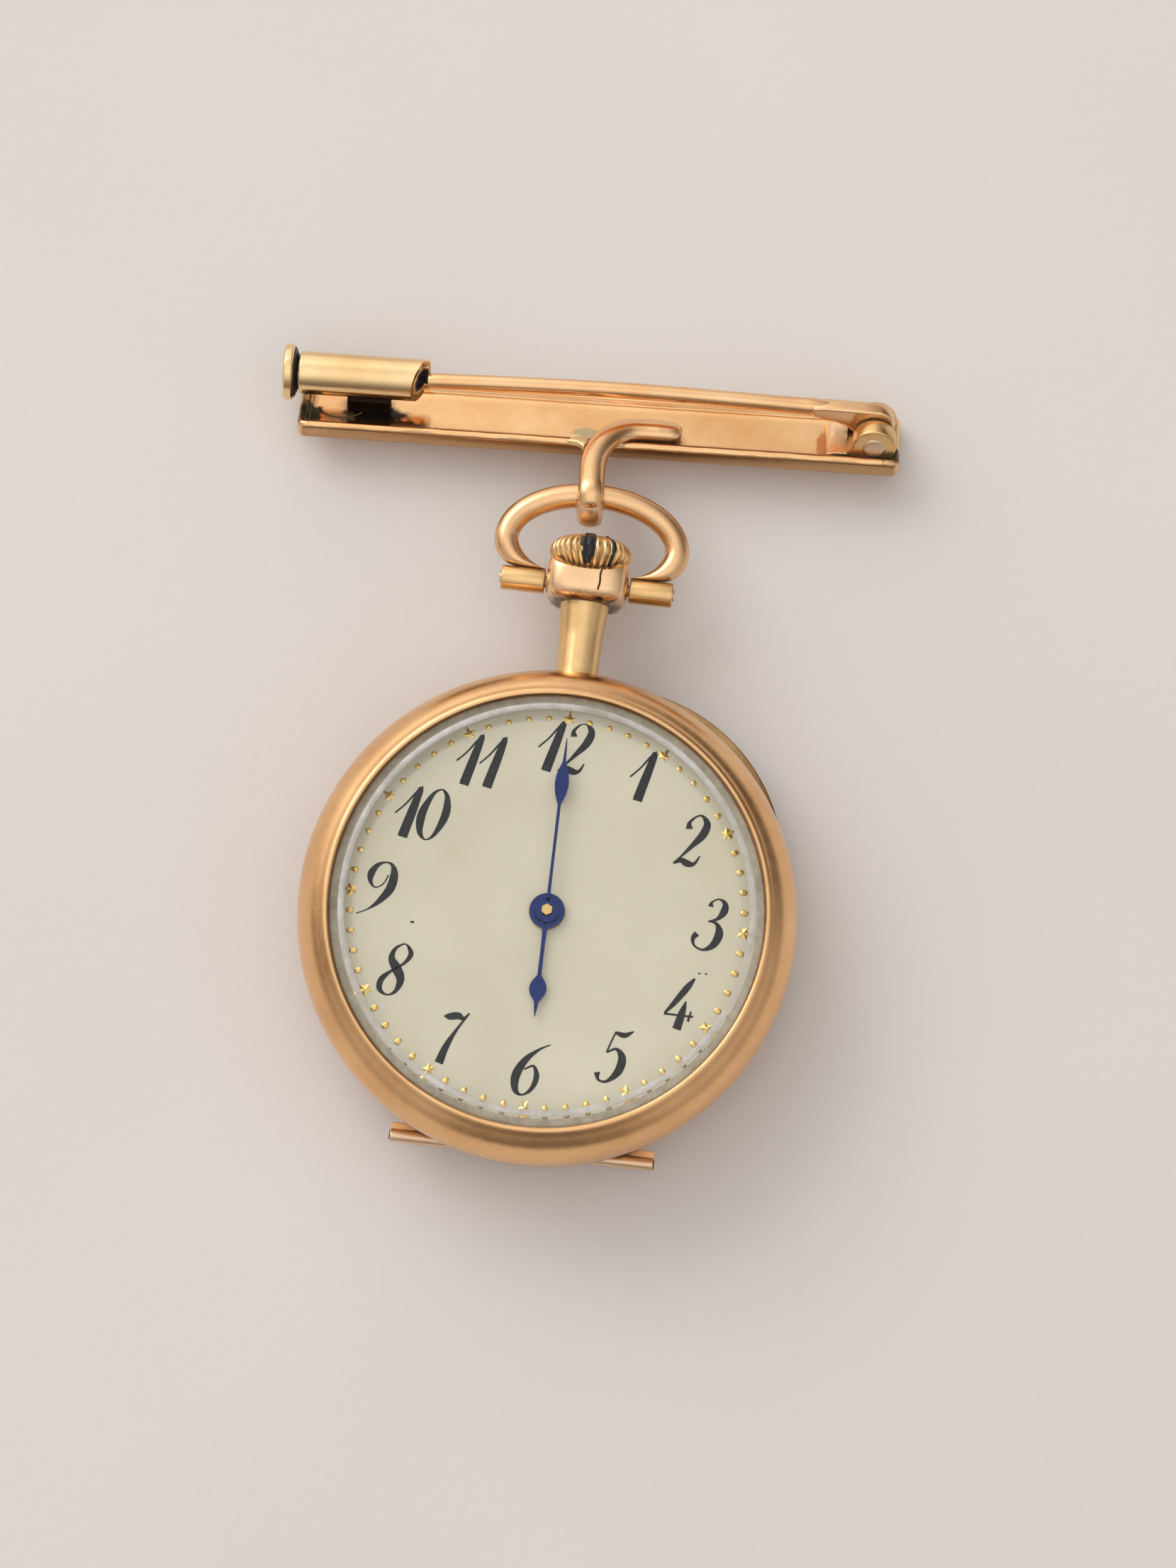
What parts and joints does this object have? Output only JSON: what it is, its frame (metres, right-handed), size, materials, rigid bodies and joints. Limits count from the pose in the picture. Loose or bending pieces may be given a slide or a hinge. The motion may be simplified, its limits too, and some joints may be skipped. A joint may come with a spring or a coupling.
{
  "type": "fob watch",
  "caption": "Ladies' open-face keyless fob watch with a hinged back, bow and mechanical movement, hanging by a hook from a plain bar brooch with a pin and pull-out catch.",
  "frame": {"origin": "centre of the flat of the case back, where the watch rests on a table", "axes": "+Y from 6 o'clock to 12 o'clock and the crown, +Z out of the dial, +X towards 3 o'clock"},
  "size_m": [0.0316, 0.0408, 0.0082],
  "materials": {
    "satin_gold": "satin-worn antique rose gold with fine scratches",
    "polished_gold": "polished worn antique gold, brown residue in corners",
    "pale_gold": "paler gold, lightly brushed",
    "gilt_brass": "frosted gilt",
    "wheel_brass": "fine circular grain",
    "steel": "polished steel",
    "blued_steel": "heat-blued steel",
    "enamel": "glossy milky ivory enamel, printed black",
    "glass": "clear mineral glass with a bevelled edge"
  },
  "bodies": {
    "case": {"case_band": "satin_gold", "pendant": "satin_gold", "case_hinge_pin": "pale_gold", "dial": "enamel", "main_plate": "gilt_brass", "barrel_bridge": "gilt_brass", "train_bridge": "gilt_brass", "balance_cock": "gilt_brass", "pallet_bridge": "gilt_brass", "click_spring": "steel", "setting_lever": "steel", "crown_wheel_screw": "blued_steel", "barrel_bridge_screw": "blued_steel", "train_bridge_screw": "blued_steel", "cock_screw": "blued_steel", "case_screw_upper": "blued_steel", "case_screw_lower": "blued_steel", "bow_pin_left": "pale_gold", "bow_pin_right": "pale_gold"},
    "back": {"back_cover": "satin_gold"},
    "inner_cover": {"cuvette": "pale_gold"},
    "bezel_and_crystal": {"bezel": "satin_gold", "crystal": "glass"},
    "stem": {"winding_stem": "steel"},
    "knob": {"crown": "polished_gold"},
    "clutch": {"sliding_pinion": "steel"},
    "winder": {"winding_pinion": "steel"},
    "crown_wheel_body": {"crown_wheel": "steel"},
    "ratchet": {"ratchet_wheel": "steel", "barrel_arbor": "steel", "ratchet_screw": "blued_steel"},
    "pawl": {"click": "steel"},
    "barrel": {"mainspring_barrel": "wheel_brass", "barrel_lid": "wheel_brass", "mainspring": "blued_steel"},
    "centre": {"centre_wheel": "wheel_brass"},
    "third": {"third_wheel": "wheel_brass"},
    "fourth": {"fourth_wheel": "wheel_brass"},
    "escape": {"escape_wheel": "wheel_brass"},
    "fork": {"pallet_fork": "steel"},
    "balance": {"balance_wheel": "wheel_brass", "hairspring": "blued_steel"},
    "index": {"regulator": "steel"},
    "minutes": {"cannon_pinion": "steel", "minute_hand": "blued_steel"},
    "minute_work": {"minute_wheel": "wheel_brass"},
    "hours": {"hour_wheel": "wheel_brass", "hour_hand": "blued_steel"},
    "bow_ring": {"bow": "polished_gold", "bow_sleeve_left": "polished_gold", "bow_sleeve_right": "polished_gold"},
    "brooch": {"brooch_bar": "polished_gold", "hook": "polished_gold", "catch_base": "polished_gold", "catch_tube": "polished_gold", "hinge_bracket": "polished_gold", "hinge_rivet": "pale_gold"},
    "pin": {"brooch_pin": "polished_gold"},
    "slider": {"catch_slider": "polished_gold"}
  },
  "joints": [
    {"name": "back_cover_hinge", "type": "hinge", "parent": "case", "child": "back", "pos_m": [0, -0.01125, 0.0024], "axis": [-1, 0, 0], "range_deg": [0, 100]},
    {"name": "cuvette_hinge", "type": "hinge", "parent": "case", "child": "inner_cover", "pos_m": [0, -0.01125, 0.0024], "axis": [-1, 0, 0], "range_deg": [0, 55]},
    {"name": "bezel_lift", "type": "slide", "parent": "case", "child": "bezel_and_crystal", "axis": [0, 0, 1], "range_m": [0, 0.002]},
    {"name": "stem_pull", "type": "slide", "parent": "case", "child": "stem", "axis": [0, 1, 0], "range_m": [0, 0.00035]},
    {"name": "crown_turn", "type": "hinge", "parent": "stem", "child": "knob", "pos_m": [0, 0.0184, 0.00388], "axis": [0, 1, 0], "continuous": true},
    {"name": "clutch_slide", "type": "slide", "parent": "case", "child": "clutch", "axis": [0, -1, 0], "range_m": [0, 0.000175]},
    {"name": "winding_pinion_turn", "type": "hinge", "parent": "case", "child": "winder", "pos_m": [0, 0.0078, 0.00388], "axis": [0, 1, 0], "continuous": true},
    {"name": "crown_wheel_turn", "type": "hinge", "parent": "case", "child": "crown_wheel_body", "pos_m": [0, 0.0062, 0.0024], "axis": [0, 0, 1], "continuous": true},
    {"name": "ratchet_turn", "type": "hinge", "parent": "case", "child": "ratchet", "pos_m": [-0.00455, 0.00263, 0.0024], "axis": [0, 0, 1], "continuous": true},
    {"name": "click_swing", "type": "hinge", "parent": "case", "child": "pawl", "pos_m": [-0.0073, 0.0057, 0.0022], "axis": [0, 0, 1], "range_deg": [0, 10]},
    {"name": "fourth_wheel_turn", "type": "hinge", "parent": "case", "child": "fourth", "pos_m": [0.00033, -0.0036, 0.004], "axis": [0, 0, 1], "continuous": true},
    {"name": "escape_wheel_turn", "type": "hinge", "parent": "case", "child": "escape", "pos_m": [0.00123, -0.00608, 0.004], "axis": [0, 0, 1], "continuous": true},
    {"name": "third_wheel_turn", "type": "hinge", "parent": "case", "child": "third", "pos_m": [-0.00255, -0.00255, 0.004], "axis": [0, 0, 1], "continuous": true},
    {"name": "centre_wheel_turn", "type": "hinge", "parent": "case", "child": "centre", "pos_m": [0, 0, 0.004], "axis": [0, 0, 1], "continuous": true},
    {"name": "barrel_turn", "type": "hinge", "parent": "case", "child": "barrel", "pos_m": [-0.00455, 0.00263, 0.004], "axis": [0, 0, 1], "continuous": true},
    {"name": "balance_swing", "type": "hinge", "parent": "case", "child": "balance", "pos_m": [0.00558, -0.00405, 0.004], "axis": [0, 0, 1], "range_deg": [-220, 220]},
    {"name": "pallet_fork_swing", "type": "hinge", "parent": "case", "child": "fork", "pos_m": [0.00322, -0.00515, 0.004], "axis": [0, 0, 1], "range_deg": [-5, 5]},
    {"name": "regulator_swing", "type": "hinge", "parent": "case", "child": "index", "pos_m": [0.00558, -0.00405, 0.0016], "axis": [0, 0, 1], "range_deg": [-20, 20]},
    {"name": "minute_hand_turn", "type": "hinge", "parent": "case", "child": "minutes", "pos_m": [0, 0, 0.007], "axis": [0, 0, 1], "continuous": true},
    {"name": "minute_wheel_turn", "type": "hinge", "parent": "case", "child": "minute_work", "pos_m": [0, 0.0024, 0.0058], "axis": [0, 0, 1], "continuous": true},
    {"name": "hour_hand_turn", "type": "hinge", "parent": "case", "child": "hours", "pos_m": [0, 0, 0.0068], "axis": [0, 0, 1], "continuous": true},
    {"name": "bow_swing", "type": "hinge", "parent": "case", "child": "bow_ring", "pos_m": [0, 0.017, 0.00388], "axis": [1, 0, 0], "range_deg": [-90, 90]},
    {"name": "brooch_swing", "type": "hinge", "parent": "bow_ring", "child": "brooch", "pos_m": [-0.00019, 0.02152, 0.00388], "axis": [0.999, 0.0436, 0], "range_deg": [0, 100]},
    {"name": "pin_hinge", "type": "hinge", "parent": "brooch", "child": "pin", "pos_m": [0.01354, 0.0273, 0.00206], "axis": [-0.037, 0.8472, -0.5299], "range_deg": [0, 100]},
    {"name": "catch_slide", "type": "slide", "parent": "brooch", "child": "slider", "axis": [-0.999, -0.0436, 0], "range_m": [0, 0.0035]}
  ],
  "couplings": [
    {"joint": "cuvette_hinge", "follows": "back_cover_hinge", "ratio": 0.55},
    {"joint": "clutch_slide", "follows": "stem_pull", "ratio": 0.5},
    {"joint": "winding_pinion_turn", "follows": "crown_turn", "ratio": 1},
    {"joint": "crown_wheel_turn", "follows": "crown_turn", "ratio": 0.5},
    {"joint": "ratchet_turn", "follows": "crown_turn", "ratio": -0.33333},
    {"joint": "escape_wheel_turn", "follows": "fourth_wheel_turn", "ratio": -10},
    {"joint": "third_wheel_turn", "follows": "fourth_wheel_turn", "ratio": -0.13333},
    {"joint": "centre_wheel_turn", "follows": "fourth_wheel_turn", "ratio": 0.016667},
    {"joint": "barrel_turn", "follows": "fourth_wheel_turn", "ratio": -0.002381},
    {"joint": "pallet_fork_swing", "follows": "balance_swing", "ratio": -0.022727},
    {"joint": "minute_wheel_turn", "follows": "minute_hand_turn", "ratio": -0.33333},
    {"joint": "hour_hand_turn", "follows": "minute_hand_turn", "ratio": 0.083333}
  ]
}
